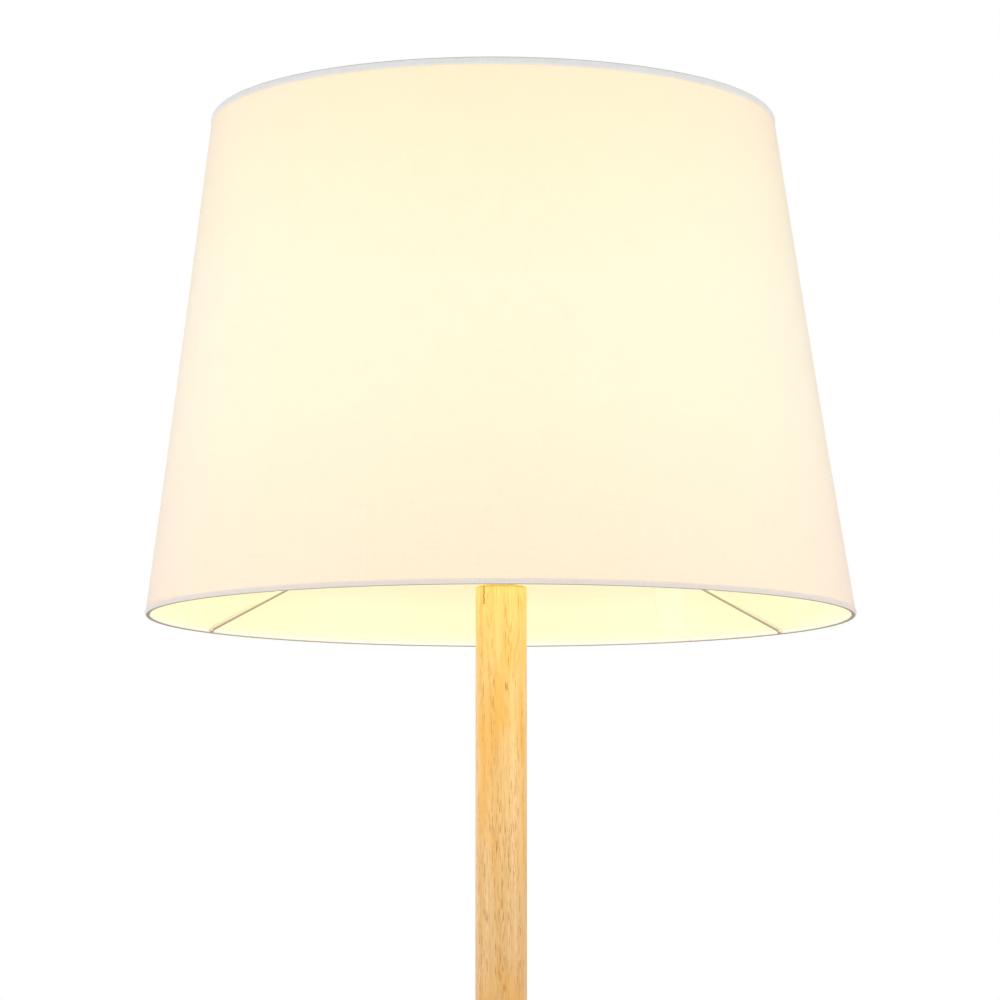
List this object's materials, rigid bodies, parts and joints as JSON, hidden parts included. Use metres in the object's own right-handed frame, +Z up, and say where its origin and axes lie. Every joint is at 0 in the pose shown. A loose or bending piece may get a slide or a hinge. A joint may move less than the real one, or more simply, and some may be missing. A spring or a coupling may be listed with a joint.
{
  "type": "tripod floor lamp",
  "caption": "Floor lamp with a lit tapered linen drum shade on a round wooden post, standing on a turned hub with folding tapered wooden legs.",
  "frame": {"origin": "on the floor, at the foot of the post's axis", "axes": "+Z up along the post, -Y towards the front, +X to the right seen from the front"},
  "size_m": [0.4165, 0.4164, 1.55],
  "materials": {
    "linen": "matt linen weave",
    "lining_film": "satin film",
    "hem_fabric": "matt linen weave",
    "white_wire": "satin coat",
    "white_plastic": "satin",
    "rim_wire": "bright",
    "opal_globe": "opal",
    "board": "satin",
    "nickel": "nickel plate",
    "black_plastic": "satin",
    "contact_brass": "satin",
    "ceramic_core": "glazed",
    "zinc_steel": "zinc plate",
    "dark_steel": "black oxide",
    "cap_steel": "satin coat",
    "rubberwood": "satin varnish",
    "insert_brass": "satin",
    "nylon": "satin",
    "foot_rubber": "matt"
  },
  "bodies": {
    "stand": {"holder_body": "white_plastic", "holder_cap": "white_plastic", "socket_core": "ceramic_core", "socket_shell": "nickel", "centre_contact": "contact_brass", "terminal_screws": "zinc_steel", "switch_body": "black_plastic", "holder_nut": "zinc_steel", "top_nipple": "zinc_steel", "neck_tube": "cap_steel", "post_washer": "cap_steel", "upper_post": "rubberwood", "middle_nipple": "zinc_steel", "lower_post": "rubberwood", "threaded_inserts": "insert_brass", "hub_nipple": "zinc_steel", "hub": "rubberwood", "hub_washer": "zinc_steel", "hub_nut": "zinc_steel", "cord_bushing": "black_plastic", "pivot_bolts": "dark_steel", "pivot_nuts": "dark_steel", "pivot_washers": "nylon"},
    "leg_back": {"leg_back": "rubberwood", "foot_back": "foot_rubber", "foot_screw_back": "zinc_steel"},
    "leg_left": {"leg_left": "rubberwood", "foot_left": "foot_rubber", "foot_screw_left": "zinc_steel"},
    "leg_right": {"leg_right": "rubberwood", "foot_right": "foot_rubber", "foot_screw_right": "zinc_steel"},
    "shade": {"shade_cover": "linen", "shade_lining": "lining_film", "top_hem": "hem_fabric", "bottom_hem": "hem_fabric", "top_ring_wire": "rim_wire", "bottom_ring_wire": "rim_wire", "shade_fitter": "white_wire"},
    "shade_ring": {"shade_ring": "white_plastic"},
    "bulb": {"bulb_globe": "opal_globe", "bulb_led_board": "board", "bulb_housing": "white_plastic", "bulb_screw_cap": "nickel", "bulb_insulator": "black_plastic", "bulb_tip": "contact_brass"},
    "switch": {"switch_shaft": "zinc_steel", "switch_knob": "black_plastic"}
  },
  "joints": [
    {"name": "leg_back_fold", "type": "hinge", "parent": "stand", "child": "leg_back", "pos_m": [0, 0.026, 0.518], "axis": [-1, 0, 0], "range_deg": [0, 18]},
    {"name": "leg_left_fold", "type": "hinge", "parent": "stand", "child": "leg_left", "pos_m": [-0.02252, -0.013, 0.518], "axis": [0.5, -0.866, 0], "range_deg": [0, 18]},
    {"name": "leg_right_fold", "type": "hinge", "parent": "stand", "child": "leg_right", "pos_m": [0.02252, -0.013, 0.518], "axis": [0.5, 0.866, 0], "range_deg": [0, 18]},
    {"name": "switch_turn", "type": "hinge", "parent": "stand", "child": "switch", "pos_m": [0, 0.028, 1.3105], "axis": [0, 1, 0], "continuous": true},
    {"name": "shade_swivel", "type": "hinge", "parent": "stand", "child": "shade", "pos_m": [0, 0, 1.3257], "axis": [0, 0, 1], "continuous": true},
    {"name": "shade_ring_turn", "type": "hinge", "parent": "stand", "child": "shade_ring", "pos_m": [0, 0, 1.3279], "axis": [0, 0, 1], "continuous": true},
    {"name": "bulb_draw", "type": "slide", "parent": "stand", "child": "bulb", "axis": [0, 0, 1], "range_m": [0, 0.022]}
  ]
}
